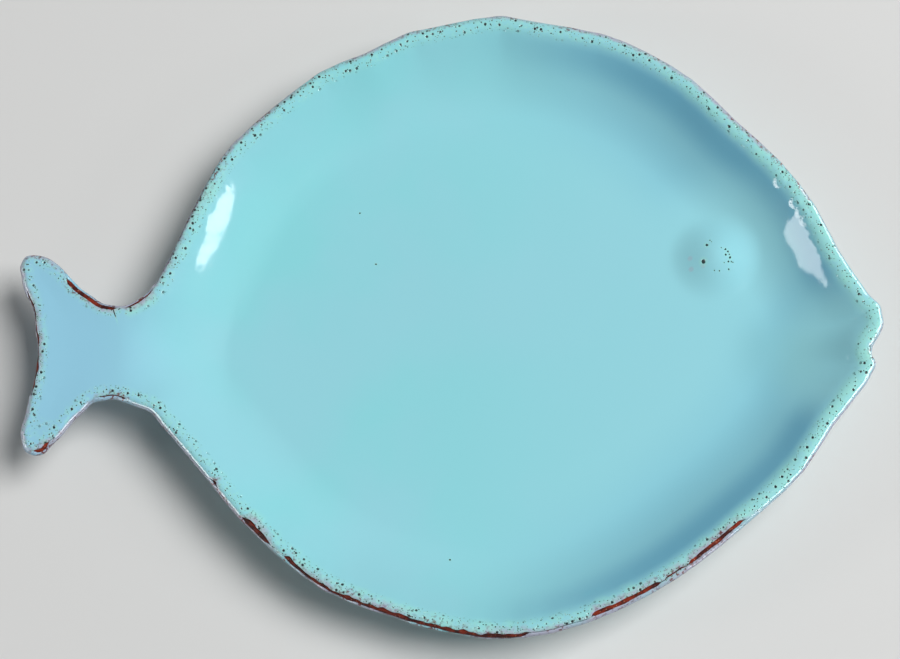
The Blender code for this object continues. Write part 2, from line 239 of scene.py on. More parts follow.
EYE_ROWS = 10                     # rows from the middle of the eye to its edge
EYE_SIDES = 96                    # points round the eye

# The stage
AIM = Vector((0.0005, -0.0009, 0.012))    # what the lamps and the camera point at
HEAD_LEAN = math.radians(3)       # how far the camera leans towards the head
BELLY_LEAN = math.radians(16)     # how far it leans towards the belly
CAMERA_DISTANCE = 0.9             # how far it is from the plate (m)
FILM_WIDTH = 36                   # width of its sensor (mm)
SKY_COLOUR = (0.9, 0.95, 1.0)     # tint of the light from all round
BACKDROP = 0.6                    # how pale the sky looks to the camera and in the glaze
FLOOR_RADIUS = 4.0                # reach of the floor (m)
FLOOR_SIDES = 96                  # points round the floor
FLOOR_ROUGHNESS = 0.9
# Lamps: name, which of the stage's watts they get and what share of them, width and height (m), bearing and
# height (degrees) and distance (m), and how far they are rolled (degrees)
LAMPS = (
    ("key", "key", 1.0, (1.6, 1.6), (8, 60, 3.0), 0.0),
    ("right_window", "window", 1.0, (0.110, 0.165), (-7.8, 29.4, 1.2), -36.0),
    ("left_window", "fill", 1.0, (0.256, 0.205), (191.8, 24.9, 1.2), -44.0),
    ("right_rim", "rim", 1.0, (2.4, 0.44), (1, 12, 1.2), 0.0),
    ("left_rim", "rim", 0.5, (1.6, 0.44), (205, 12, 1.2), 0.0),
)


class PlateShape(bpy.types.PropertyGroup):
    """Sizes of the plate that the looks are built from."""

    rim_points: IntProperty(name="Rim points", description="Points round the rim", default=1080, min=240)
    floor_thickness: FloatProperty(
        name="Floor", description="Thickness of the clay in the well", default=0.0050, unit="LENGTH")
    lip_thickness: FloatProperty(
        name="Lip", description="Thickness of the clay at the rim", default=0.0034, unit="LENGTH")
    glaze_thickness: FloatProperty(
        name="Glaze", description="Thickness of a coat of glaze", default=0.00055, unit="LENGTH")
    glaze_gap: FloatProperty(
        name="Gap", description="Clearance between glaze and clay", default=0.00005, unit="LENGTH")
    rim_land: FloatProperty(
        name="Rim land", description="How far the rim stays nearly level", default=0.0008, unit="LENGTH")
    wall_run: FloatProperty(
        name="Wall", description="Width of the sloping wall", default=0.0250, unit="LENGTH")
    tail_run: FloatProperty(
        name="Tail edge", description="Width of the tail's raised edge", default=0.0090, unit="LENGTH")
    tail_dish: FloatProperty(
        name="Tail dish", description="Depth of the tail below its edge", default=0.0012, unit="LENGTH")
    ramp_length: FloatProperty(
        name="Ramp", description="Slope from the stem to the floor of the well", default=0.0340,
        unit="LENGTH")
    stem_place: FloatProperty(
        name="Stem", description="Place of the tail stem along the fish", default=-0.1010, unit="LENGTH")
    eye_height: FloatProperty(
        name="Eye height", description="Swelling of the glaze over the eye", default=0.0045, unit="LENGTH")
    eye_reach: FloatProperty(
        name="Eye reach", description="Radius of the eye's swelling", default=0.0148, unit="LENGTH")
    foot_width: FloatProperty(
        name="Foot", description="Width of the foot ring", default=0.0062, unit="LENGTH")
    foot_round: FloatProperty(
        name="Foot rounding", description="Rounding of the foot's edges", default=0.0016, unit="LENGTH")
    waves: FloatProperty(
        name="Waves", description="Height of the hand-made waves in the surface", default=0.00015,
        unit="LENGTH")


class GlazeLook(bpy.types.PropertyGroup):
    """Colours and gloss of the glaze, and the colours of the shade painted on it."""

    aqua: FloatVectorProperty(
        name="Aqua", description="Glaze in the well", default=(0.273, 0.610, 0.680), size=3, subtype="COLOR")
    green: FloatVectorProperty(
        name="Green", description="Clouds in the aqua", default=(0.236, 0.628, 0.668), size=3,
        subtype="COLOR")
    mint: FloatVectorProperty(
        name="Mint", description="Glaze that breaks near the rim", default=(0.31, 0.70, 0.61), size=3,
        subtype="COLOR")
    lilac: FloatVectorProperty(
        name="Lilac", description="Thin glaze over the edge", default=(0.37, 0.39, 0.49), size=3,
        subtype="COLOR")
    blue: FloatVectorProperty(
        name="Blue", description="Glaze on the tail", default=(0.262, 0.55, 0.70), size=3, subtype="COLOR")
    # Painted shade: a darker, bluer tone on the head's wall, which faces away from the key light
    wall_shade: FloatVectorProperty(
        name="Wall_Shade", description="Painted shade on the wall of the head", default=(0.14, 0.41, 0.55), size=3,
        subtype="COLOR")
    # Painted shade in front of the mouth, where the wall faces away from the key light
    pool: FloatVectorProperty(
        name="Pool", description="Painted shade in front of the mouth", default=(0.17, 0.40, 0.42), size=3,
        subtype="COLOR")
    rust: FloatVectorProperty(
        name="Rust", description="Clay that shows through the thin glaze", default=(0.12, 0.036, 0.040),
        size=3, subtype="COLOR")
    pit: FloatVectorProperty(
        name="Pinhole", description="Dark inside of a pinhole", default=(0.003, 0.014, 0.016), size=3,
        subtype="COLOR")
    gloss: FloatProperty(
        name="Roughness", description="Roughness of the glaze", default=0.07, min=0, max=1, subtype="FACTOR")


class ClayLook(bpy.types.PropertyGroup):
    """Colours of the fired clay."""

    red: FloatVectorProperty(
        name="Red", description="Fired clay", default=(0.20, 0.023, 0.009), size=3, subtype="COLOR")
    dark: FloatVectorProperty(
        name="Dark", description="Burnt clay", default=(0.044, 0.008, 0.007), size=3, subtype="COLOR")
    sand: FloatVectorProperty(
        name="Sand", description="Pale grains in the clay", default=(0.55, 0.25, 0.15), size=3,
        subtype="COLOR")


class StageLook(bpy.types.PropertyGroup):
    """Floor, light and camera."""

    floor: FloatVectorProperty(
        name="Floor", description="Colour of the floor", default=(0.64, 0.64, 0.63), size=3, subtype="COLOR")
    key: FloatProperty(name="Key", description="Soft light from the right, in watts", default=101.0)
    window: FloatProperty(name="Window", description="Bright window on the right, in watts", default=0.60)
    fill: FloatProperty(name="Fill", description="Weak window on the left, in watts", default=1.25)
    rim: FloatProperty(
        name="Rim light", description="Low light that draws the rim's edge, in watts", default=48.0)
    sky: FloatProperty(name="Sky", description="Light from all round", default=0.09)
    lens: FloatProperty(name="Lens", description="Focal length", default=116.6, unit="CAMERA")


def smoothstep(share):
    """0 to 1 with a soft start and end."""
    share = np.clip(share, 0, 1)
    return share * share * (3 - 2 * share)


def cut_loops(node, height):
    """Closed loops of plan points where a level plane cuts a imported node."""
    mesh = bmesh.new()
    mesh.from_mesh(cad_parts[node].data)
    bmesh.ops.remove_doubles(mesh, verts=mesh.verts, dist=WELD)
    geometry = mesh.verts[:] + mesh.edges[:] + mesh.faces[:]
    cut = bmesh.ops.bisect_plane(mesh, geom=geometry, plane_co=(0, 0, height), plane_no=(0, 0, 1))["geom_cut"]
    left = {item for item in cut if isinstance(item, bmesh.types.BMEdge)}
    loops = []
    while left:
        edge = left.pop()
        start, here = edge.verts
        loop = [start.co.xy]
        while here is not start:
            loop.append(here.co.xy)
            edge = next(link for link in here.link_edges if link in left)
            left.discard(edge)
            here = edge.other_vert(here)
        loops.append(loop)
    mesh.free()
    return loops


def way_round(loop):
    """Length of a closed loop of points."""
    return sum((one - two).length for one, two in zip(loop, loop[1:] + loop[:1]))


def heading(before, here, after):
    """Direction of a smooth curve in the middle one of three plan points."""
    one = here - before
    two = after - here
    return (one / one.length_squared + two / two.length_squared).normalized()


def smooth_loop(knots, count):
    """Evenly spaced points on a smooth closed curve through plan points."""
    curve = []
    total = len(knots)
    for index in range(total):
        before, here, after, beyond = (knots[(index + step) % total] for step in (-1, 0, 1, 2))
        reach = (after - here).length / 3
        leave = here + heading(before, here, after) * reach
        arrive = after - heading(here, after, beyond) * reach
        curve += interpolate_bezier(here, leave, arrive, after, KNOT_POINTS)[:-1]
    curve = np.array([tuple(point) for point in curve])
    closed = np.vstack([curve, curve[:1]])
    way = np.concatenate([[0], np.cumsum(np.linalg.norm(np.diff(closed, axis=0), axis=1))])
    even = np.linspace(0, way[-1], count, endpoint=False)
    return np.stack([np.interp(even, way, closed[:, axis]) for axis in (0, 1)], axis=1)


def relaxed(loop):
    """A closed loop with its small kinks smoothed out and its size kept."""
    for pull in RELAXING:
        loop = loop + ((np.roll(loop, 1, axis=0) + np.roll(loop, -1, axis=0)) / 2 - loop) * pull
    return loop


def steps_along(loop):
    """Plan steps at each point of a closed loop, from the point before it to the one after it."""
    return np.roll(loop, -1, axis=0) - np.roll(loop, 1, axis=0)


def outward_of(loop):
    """Unit plan directions that point out of a counter-clockwise loop."""
    along = steps_along(loop)
    along /= np.linalg.norm(along, axis=1)[:, None]
    return np.stack([along[:, 1], -along[:, 0]], axis=1)


def plan_noise(plan, seed):
    """A value from -1 to 1 at each plan point, which wanders over steps of about 1."""
    return np.array([noise.noise((x, y, seed)) for x, y in plan])


class Dish:
    """The middle surface of the clay, and the points over and under it that the skins are made of."""

    def __init__(self, shape):
        self.shape = shape
        # How far the two sides of a coat lie off the clay
        self.near = shape.glaze_gap
        self.far = shape.glaze_gap + shape.glaze_thickness
        self.edge_radius = shape.lip_thickness / 2 + shape.glaze_gap + shape.glaze_thickness
        self.rim_level = CAD_BOX[1][2] - self.edge_radius
        self.floor_level = CLAY_BASE + shape.floor_thickness / 2
        knots = self.thinned(max(cut_loops("back_glaze", self.rim_level), key=way_round))
        loop = relaxed(smooth_loop(knots, shape.rim_points))
        self.outward = outward_of(loop)
        self.rim = loop - self.outward * self.edge_radius
        self.spacing = np.linalg.norm(steps_along(self.rim), axis=1) / 2
        self.length = self.spacing.sum()

    def thinned(self, knots):
        """The same loop with its close points left out, counter-clockwise from the mouth."""
        if sum(one.cross(two) for one, two in zip(knots, knots[1:] + knots[:1])) < 0:
            knots = knots[::-1]
        first = max(range(len(knots)), key=lambda index: knots[index].x)
        kept = []
        for point in knots[first:] + knots[:first]:
            if not kept or (point - kept[-1]).length > self.shape.lip_thickness * KNOT_SHARE:
                kept.append(point)
        return kept

    def slopes(self, x):
        """Level of the floor, and width of the wall, at places along the fish."""
        shape = self.shape
        tail = smoothstep(1 - (x - shape.stem_place) / shape.ramp_length)
        floor = self.floor_level + (self.rim_level - shape.tail_dish - self.floor_level) * tail
        return floor, shape.wall_run + (shape.tail_run - shape.wall_run) * tail

    def rim_distance(self, plan):
        """How far plan points lie inside the rim, with its slope and their nearest rim point."""
        reach = plan[:, None, :] - self.rim[None, :, :]
        square = np.maximum((reach ** 2).sum(axis=2), WELD ** 2)
        nearest = square.argmin(axis=1)
        outside = ((plan - self.rim[nearest]) * self.outward[nearest]).sum(axis=1) > 0
        weight = self.spacing / square ** (SOFTNESS / 2)
        total = weight.sum(axis=1)
        distance = (total / SOFT_LINE) ** (-1 / (SOFTNESS - 1))
        weight /= square
        slope = plan * weight.sum(axis=1)[:, None] - weight @ self.rim
        slope *= (SOFTNESS / (SOFTNESS - 1) * distance / total)[:, None]
        return np.where(outside, -distance, distance), slope, nearest

    def rise(self, x, distance):
        """Height of the middle of the clay, and how far up the wall it is from 0 to 1."""
        floor, run = self.slopes(x)
        head = smoothstep(x / HEAD_START)
        land = self.shape.rim_land * (1 + head)
        inward = np.clip((np.hypot(distance, land) - land) / run, 0, 1)
        wall = (1 - inward) ** 2 * (1 + WALL_BELLY * (1 - head) * inward)
        return floor + (self.rim_level - floor) * wall, wall

    def skin(self, plan, side, lift, swell=None):
        """Points lifted off the clay, over (side 1) or under it (side -1), their rim distance and point."""
        shape = self.shape
        distance, slope, nearest = self.rim_distance(plan)
        height, wall = self.rise(plan[:, 0], distance)
        step = shape.glaze_gap
        ahead = self.rise(plan[:, 0] + step, distance + slope[:, 0] * step)[0]
        aside = self.rise(plan[:, 0], distance + slope[:, 1] * step)[0]
        normal = np.stack([(height - ahead) / step, (height - aside) / step, np.ones(len(plan))], axis=1)
        normal /= np.linalg.norm(normal, axis=1)[:, None]
        half = (shape.floor_thickness + (shape.lip_thickness - shape.floor_thickness) * wall) / 2
        height += self.waves(plan, distance)
        points = np.column_stack([plan, height]) + normal * (side * (half + lift))[:, None]
        if swell:
            points[:, 2] += swell(points[:, :2])
        return points, distance, nearest

    def waves(self, plan, distance):
        """Unevenness of a surface that was shaped by hand."""
        slow = plan_noise(plan * SLOW_WAVES, seed=3.0)
        quick = plan_noise(plan * QUICK_WAVES, seed=8.0)
        near = 1 - smoothstep(distance / self.shape.tail_run)
        return self.shape.waves * (slow + quick * near * QUICK_SHARE)

    def lip(self, angle, radius):
        """Points on the round of the rim, at an angle and a radius for each rim point."""
        plan = self.rim + self.outward * (np.cos(angle) * radius)[:, None]
        wave = self.waves(self.rim, np.zeros(len(plan)))
        return np.column_stack([plan, self.rim_level + np.sin(angle) * radius + wave])


@functools.cache
def dish():
    """The dish as the scene's sizes give it."""
    return Dish(bpy.context.scene.plate_shape)


def eye_swell(plan):
    """Height that the eye adds over plan points."""
    shape = bpy.context.scene.plate_shape
    share = np.linalg.norm(plan - np.array(EYE_MIDDLE), axis=1) / shape.eye_reach
    return shape.eye_height * (1 - smoothstep(share))


def rim_noise(pitch, seed):
    """A value from -1 to 1 at each rim point, which wanders over a length along the rim."""
    return plan_noise(dish().rim / pitch, seed)


def full(value):
    """One value for every rim point."""
    return np.full(len(dish().rim), float(value))


@functools.cache
def coat_edges():
    """Angles on the round of the rim where the face coat and the back coat end, and how bare the rim is."""
    plate = dish()
    share = np.arange(len(plate.rim)) / len(plate.rim)
    width = full(0)
    middle = CREST + WANDER * rim_noise(pitch=0.02, seed=1.0)
    for start, end, bare, shift in BARE_PLACES:
        fade = min(BARE_START + BARE_SLANT * bare, (end - start) * plate.length / 2) / plate.length
        inside = smoothstep((share - start) / fade) * smoothstep((end - share) / fade)
        width = np.maximum(width, bare * inside)
        middle = middle + math.radians(shift) * inside
    half = width / plate.edge_radius / 2
    face_rags = 0.45 * rim_noise(pitch=0.0026, seed=5.0), 0.4 * rim_noise(pitch=0.007, seed=6.0)
    back_rags = 0.4 * rim_noise(pitch=0.0026, seed=9.0), 0.35 * rim_noise(pitch=0.008, seed=10.0)
    face = np.minimum(middle + half * sum(face_rags, 1), INNERMOST)
    back = middle - half * sum(back_rags, 1)
    return face, np.minimum(back, face), smoothstep(width / BARE_WIDTH)


def bareness(distance, nearest=slice(None)):
    """How bare the rim is beside points at a distance inside it, each with its nearest rim point."""
    return coat_edges()[2][nearest] * (1 - smoothstep(distance / BARE_SPREAD))


def new_mesh():
    """An empty bmesh whose vertices know where they are on the rim."""
    mesh = bmesh.new()
    for name in ATTRIBUTES:
        mesh.verts.layers.float.new(name)
    return mesh


def put(mesh, verts, points, *values):
    """Move vertices to points, and note values for the attributes there."""
    layers = [mesh.verts.layers.float[name] for name in ATTRIBUTES]
    for vert, point, *noted in zip(verts, points, *values):
        vert.co = point
        for layer, value in zip(layers, noted):
            vert[layer] = value


def add_band(mesh, rows):
    """A band round the plate over rows of what put takes. Returns its first and its last ring of vertices."""
    count = len(rows[0][0])
    grid = bmesh.ops.create_grid(mesh, x_segments=count, y_segments=len(rows) - 1, size=1)["verts"]
    rings = [grid[start:start + count + 1] for start in range(0, len(grid), count + 1)]
    for ring, row in zip(rings, rows):
        put(mesh, ring[:count], *row)
    bmesh.ops.weld_verts(mesh, targetmap={ring[count]: ring[0] for ring in rings})
    return rings[0][:count], rings[-1][:count]


def ring_edges(ring):
    """Edges along a closed ring of vertices."""
    pairs = zip(ring, ring[1:] + ring[:1])
    return [next(edge for edge in one.link_edges if edge.other_vert(one) is two) for one, two in pairs]


def sheet_ways(side, distance):
    """Ways from the crest of the rim to points over or under the clay, from their distance inside the rim."""
    return side * distance + (side * math.pi / 2 - CREST) * dish().edge_radius


def fill_sheet(mesh, rings, pitch, side, lift, swell=None, margin=0.0):
    """Fill the plan inside rings of vertices with even quads over or under the clay, joined to the rings."""
    plate = dish()
    low, high = np.array([plate.rim.min(axis=0), plate.rim.max(axis=0)])
    steps = np.ceil((high - low) / pitch).astype(int)
    middle = Matrix.Translation((*((low + high) / 2), plate.rim_level))
    place = middle @ Matrix.Diagonal((*((high - low) / 2), 1, 1))
    grid = bmesh.ops.create_grid(
        mesh, x_segments=int(steps[0]), y_segments=int(steps[1]), size=1, matrix=place)["verts"]
    plan = np.array([tuple(vert.co.xy) for vert in grid])
    inside = np.concatenate([plate.rim_distance(part)[0] for part in np.array_split(plan, PARTS)])
    stays = inside > margin + pitch * CLEARANCE
    if len(rings) > 1:
        stays &= np.linalg.norm((plan - np.array(FOOT_MIDDLE)) / (np.array(FOOT_REACH) + pitch), axis=1) > 1
    gone = [vert for vert, stay in zip(grid, stays) if not stay]
    bmesh.ops.delete(mesh, geom=gone, context="VERTS")
    grid = trimmed(mesh, [vert for vert, stay in zip(grid, stays) if stay])
    edges = {edge for vert in grid for edge in vert.link_edges if edge.is_boundary}
    for ring in rings:
        edges.update(ring_edges(ring))
    bmesh.ops.triangle_fill(mesh, use_beauty=True, edges=list(edges), normal=(0, 0, 1))
    plan = np.array([tuple(vert.co.xy) for vert in grid])
    for verts, part in zip(np.array_split(np.array(grid, dtype=object), PARTS), np.array_split(plan, PARTS)):
        points, distance, nearest = plate.skin(part, side, np.full(len(part), lift), swell)
        ways = sheet_ways(side, distance)
        put(mesh, verts, points, ways, ways, bareness(distance, nearest))


def trimmed(mesh, grid):
    """Vertices of a grid once its loose ends and pinched corners are gone."""
    while True:
        loose = [
            vert for vert in grid
            if not vert.link_faces or sum(edge.is_boundary or edge.is_wire for edge in vert.link_edges) > 2]
        if not loose:
            return grid
        bmesh.ops.delete(mesh, geom=loose, context="VERTS")
        grid = [vert for vert in grid if vert.is_valid]


def finished(name, mesh):
    """Object from a bmesh, facing outwards and shaded smooth."""
    bmesh.ops.recalc_face_normals(mesh, faces=mesh.faces)
    data = bpy.data.meshes.new(name)
    mesh.to_mesh(data)
    mesh.free()
    data.shade_smooth()
    piece = bpy.data.objects.new(name, data)
    bpy.context.scene.collection.objects.link(piece)
    return piece


def place(piece, node, slot, material):
    """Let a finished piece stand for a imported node."""
    piece.data.materials.append(material)
    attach(piece, "root")
    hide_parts(node)


def lip_rows(angles, radii, edge):
    """Rows on the round of the rim, which note how far they are from an edge there."""
    plate = dish()
    rows = []
    for angle, radius in zip(angles, radii):
        ways = [(angle - start) * plate.edge_radius for start in (CREST, edge)]
        rows.append((plate.lip(angle, radius), *ways, coat_edges()[2]))
    return rows


def between(start, end, count):
    """Arrays spread evenly from one to another, both included."""
    return [start + (end - start) * step / (count - 1) for step in range(count)]


def coat_lip(edge, end):
    """Rows of a coat's edge: along the clay out to the edge, over its bead and back on the outside."""
    shape = dish().shape
    bare = coat_edges()[2]
    seat = shape.lip_thickness / 2 + shape.glaze_gap
    under = between(full(end), edge, SEAT_ROWS)
    over = between(edge, full(end), COAT_ROWS)
    beads = [(1 - min(step / BEAD_ROWS, 1)) ** 2 for step in range(COAT_ROWS)]
    outside = [seat + shape.glaze_thickness * (1 - BEAD_THIN * bare * bead) for bead in beads]
    return lip_rows(under, [full(seat)] * SEAT_ROWS, edge) + lip_rows(over, outside, edge)


def wall_rows(side, lift, edge):
    """Rows of a coat that follow the rim a little way in, over or under the clay."""
    plate = dish()
    rows = []
    for inward in RIM_ROWS:
        plan = plate.rim - plate.outward * inward
        points, distance, _ = plate.skin(plan, side, full(lift))
        ways = sheet_ways(side, distance)
        shift = (CREST - edge) * plate.edge_radius * (1 - inward / RIM_ROWS[-1])
        rows.append((points, ways, ways + shift, bareness(distance)))
    return rows


def oval_rows(middle, reaches, heights, sides):
    """Rows along ovals round a middle, each with its half axes and a height for its plan points."""
    turn = np.linspace(0, math.tau, sides, endpoint=False)
    rows = []
    for reach, height in zip(reaches, heights):
        plan = np.array(middle) + np.column_stack([np.cos(turn), np.sin(turn)]) * np.array(reach)
        far = np.full(sides, -FAR_FROM_RIM)
        rows.append((np.column_stack([plan, height(plan)]), far, far))
    return rows


def foot_reach(grow):
    """Half axes of the foot's oval, moved out by a distance."""
    return np.array(FOOT_REACH) + grow


def out_and_back(count):
    """Shares of a reach in even steps out from the middle, and then back."""
    spread = [step / count for step in range(1, count + 1)]
    return spread + spread[::-1]


def close_poles(mesh, *rings):
    """Draw each ring of vertices together into one point."""
    for ring in rings:
        middle = sum((vert.co for vert in ring), Vector()) / len(ring)
        bmesh.ops.pointmerge(mesh, verts=ring, merge_co=middle)


def skin_height(side, lift, swell=None):
    """Heights of a skin over or under the clay, as a function of plan points."""
    return lambda plan: dish().skin(plan, side, np.full(len(plan), lift), swell)[0][:, 2]


def foot_height(plan, level):
    """Heights of a row of the foot ring: the land is uneven, the top follows its level."""
    top = CLAY_BASE
    uneven = plan_noise(plan * LAND_WAVES, seed=5.0) + 1
    return level + uneven * dish().shape.waves * (1 - level / top)


class PLATE_OT_clay_dish(bpy.types.Operator):
    """Model the fired clay of the dish, with its round rim"""

    bl_idname = "plate.clay_dish"
    bl_label = "Clay dish"

    def execute(self, context):
        mesh = new_mesh()
        angles = between(full(math.pi / 2), full(-math.pi / 2), LIP_ROWS)
        radii = [full(dish().shape.lip_thickness / 2)] * LIP_ROWS
        top, bottom = add_band(mesh, lip_rows(angles, radii, CREST))
        fill_sheet(mesh, [top], HIDDEN_PITCH, 1, 0)
        fill_sheet(mesh, [bottom], HIDDEN_PITCH, -1, 0)
        place(finished("clay_dish", mesh), "clay_body", "terracotta", clay_material("terracotta", 0.0))
        return {"FINISHED"}


class PLATE_OT_face_coat(bpy.types.Operator):
    """Model the coat of glaze on the food side, which swells over the eye"""

    bl_idname = "plate.face_coat"
    bl_label = "Face coat"

    def execute(self, context):
        near, far = dish().near, dish().far
        edge = coat_edges()[0]
        mesh = new_mesh()
        inner, outer = add_band(mesh, coat_lip(edge, math.pi / 2) + wall_rows(1, far, edge))
        fill_sheet(mesh, [inner], HIDDEN_PITCH, 1, near, eye_swell)
        fill_sheet(mesh, [outer], FACE_PITCH, 1, far, eye_swell, margin=RIM_ROWS[-1])
        glaze = glaze_material(FACE_GLAZE, FACE_THIN)
        place(finished("glazed_face", mesh), "face_glaze", "face_glaze", glaze)
        return {"FINISHED"}


class PLATE_OT_back_coat(bpy.types.Operator):
    """Model the coat of glaze on the underside, from the rim to the foot ring"""

    bl_idname = "plate.back_coat"
    bl_label = "Back coat"

    def execute(self, context):
        near, far = dish().near, dish().far
        edge = coat_edges()[1]
        mesh = new_mesh()
        inner, outer = add_band(mesh, coat_lip(edge, -math.pi / 2) + wall_rows(-1, far, edge))
        heights = (skin_height(-1, near), skin_height(-1, far))
        reaches = [foot_reach(near)] * len(heights)
        foot_inner, foot_outer = add_band(mesh, oval_rows(FOOT_MIDDLE, reaches, heights, FOOT_SIDES))
        fill_sheet(mesh, [inner, foot_inner], HIDDEN_PITCH, -1, near)
        fill_sheet(mesh, [outer, foot_outer], BACK_PITCH, -1, far, margin=RIM_ROWS[-1])
        glaze = glaze_material("back_glaze", BACK_THIN)
        place(finished("glazed_back", mesh), "back_glaze", "back_glaze", glaze)
        return {"FINISHED"}


class PLATE_OT_recess_coat(bpy.types.Operator):
    """Model the coat of glaze inside the foot ring"""

    bl_idname = "plate.recess_coat"
    bl_label = "Recess coat"

    def execute(self, context):
        near, far = dish().near, dish().far
        edge = foot_reach(-dish().shape.foot_width - near)
        reaches = [edge * share for share in out_and_back(RECESS_ROWS)]
        heights = [skin_height(-1, near)] * RECESS_ROWS + [skin_height(-1, far)] * RECESS_ROWS
        mesh = new_mesh()
        close_poles(mesh, *add_band(mesh, oval_rows(FOOT_MIDDLE, reaches, heights, FOOT_SIDES)))
        glaze = glaze_material("recess_glaze", BACK_THIN)
        place(finished("glazed_recess", mesh), "recess_glaze", "back_glaze", glaze)
        return {"FINISHED"}


class PLATE_OT_clay_foot(bpy.types.Operator):
    """Model the unglazed foot ring, with rounded edges and an uneven, worn land"""

    bl_idname = "plate.clay_foot"
    bl_label = "Foot ring"

    def execute(self, context):
        shape = dish().shape
        top = CLAY_BASE + shape.glaze_gap
        bend = shape.foot_round
        turns = [math.radians(angle) for angle in range(0, 91, 15)]
        outside = [(-bend * (1 - math.cos(turn)), bend * (1 - math.sin(turn))) for turn in turns]
        inside = [(-shape.foot_width - grow, height) for grow, height in reversed(outside)]
        flare = [(grow, top - depth) for grow, depth in FLARE]
        back = [(-shape.foot_width - grow, height) for grow, height in reversed(flare)]
        profile = flare + outside + inside + back
        reaches = [foot_reach(grow) for grow, _ in profile]
        heights = [functools.partial(foot_height, level=height) for _, height in profile]
        mesh = new_mesh()
        first, last = add_band(mesh, oval_rows(FOOT_MIDDLE, reaches, heights, FOOT_SIDES))
        bmesh.ops.bridge_loops(mesh, edges=ring_edges(first) + ring_edges(last))
        clay = clay_material("bare_terracotta", WIPED)
        place(finished("clay_foot", mesh), "foot_ring", "bare_terracotta", clay)
        return {"FINISHED"}


class PLATE_OT_clay_eye(bpy.types.Operator):
    """Model the pellet of clay that the eye's swelling lies over"""

    bl_idname = "plate.clay_eye"
    bl_label = "Eye pellet"

    def execute(self, context):
        reach = (EYE_HIGH - EYE_LOW).x / 2
        reaches = [(reach * share, reach * share) for share in out_and_back(EYE_ROWS)]
        heights = [skin_height(1, -dish().near)] * EYE_ROWS + [skin_height(1, 0, eye_swell)] * EYE_ROWS
        mesh = new_mesh()
        close_poles(mesh, *add_band(mesh, oval_rows(EYE_MIDDLE, reaches, heights, EYE_SIDES)))
        place(finished("clay_eye", mesh), "eye_pellet", "terracotta", clay_material("eye_terracotta", 0.0))
        return {"FINISHED"}


class PLATE_OT_stage(bpy.types.Operator):
    """Set up the floor, the lights and the camera"""

    bl_idname = "plate.stage"
    bl_label = "Stage"

    def execute(self, context):
        look = context.scene.plate_stage
        mesh = bmesh.new()
        bmesh.ops.create_circle(mesh, cap_ends=True, segments=FLOOR_SIDES, radius=FLOOR_RADIUS)
        floor = finished("floor", mesh)
        floor.data.materials.append(floor_material(look.floor))
        for name, source, share, size, direction, roll in LAMPS:
            item = lamp(name, getattr(look, source) * share, size, direction, roll)
            item.visible_glossy = source != "key"
            item.visible_diffuse = source != "rim"
        sky(look.sky)
        camera(look.lens)
        return {"FINISHED"}


def lamp(name, watts, size, direction, roll):
    """A rectangular lamp at a bearing and a height (degrees) and a distance (m) from what it points at."""
    bearing, height, distance = direction
    light = bpy.data.lights.new(name, "AREA")
    light.shape = "RECTANGLE"
    light.size, light.size_y = size
    light.energy = watts
    item = bpy.data.objects.new(name, light)
    bpy.context.scene.collection.objects.link(item)
    turn = Euler((0, math.radians(-height), math.radians(bearing)))
    back = turn.to_matrix() @ Vector((distance, 0, 0))
    item.location = AIM + back
    rolled = Euler((0, 0, math.radians(roll))).to_quaternion()
    item.rotation_euler = (back.to_track_quat("Z", "Y") @ rolled).to_euler()
    return item


def sky(strength):
    """Plain light from all round, which the camera and the glaze see as a pale backdrop."""
    world = bpy.data.worlds.new("studio")
    world.use_nodes = True
    bpy.context.scene.world = world
    tree = world.node_tree
    background = tree.nodes["Background"]
    background.inputs["Color"].default_value = paint(SKY_COLOUR)
    path = tree.nodes.new("ShaderNodeLightPath")
    seen = path.outputs["Is Camera Ray"]
    for ray in ("Is Glossy Ray", "Is Transmission Ray"):
        either = tree.nodes.new("ShaderNodeMath")
        either.operation = "MAXIMUM"
        tree.links.new(seen, either.inputs[0])
        tree.links.new(path.outputs[ray], either.inputs[1])
        seen = either.outputs["Value"]
    level = tree.nodes.new("ShaderNodeMapRange")
    tree.links.new(seen, level.inputs["Value"])
    level.inputs["To Min"].default_value = strength
    level.inputs["To Max"].default_value = BACKDROP
    tree.links.new(level.outputs["Result"], background.inputs["Strength"])


def camera(lens):
    """Camera that leans towards the belly and a little towards the head."""
    back = Vector((math.sin(HEAD_LEAN), -math.sin(BELLY_LEAN), 0))
    back.z = math.sqrt(1 - back.length_squared)
    right = (Vector((1, 0, 0)) - back * back.x).normalized()
    up = back.cross(right)
    data = bpy.data.cameras.new("camera")
    data.lens = lens
    data.sensor_width = FILM_WIDTH
    item = bpy.data.objects.new("camera", data)
    bpy.context.scene.collection.objects.link(item)
    turn = Matrix((right, up, back)).transposed().to_4x4()
    item.matrix_world = Matrix.Translation(AIM + back * CAMERA_DISTANCE) @ turn
    bpy.context.scene.camera = item


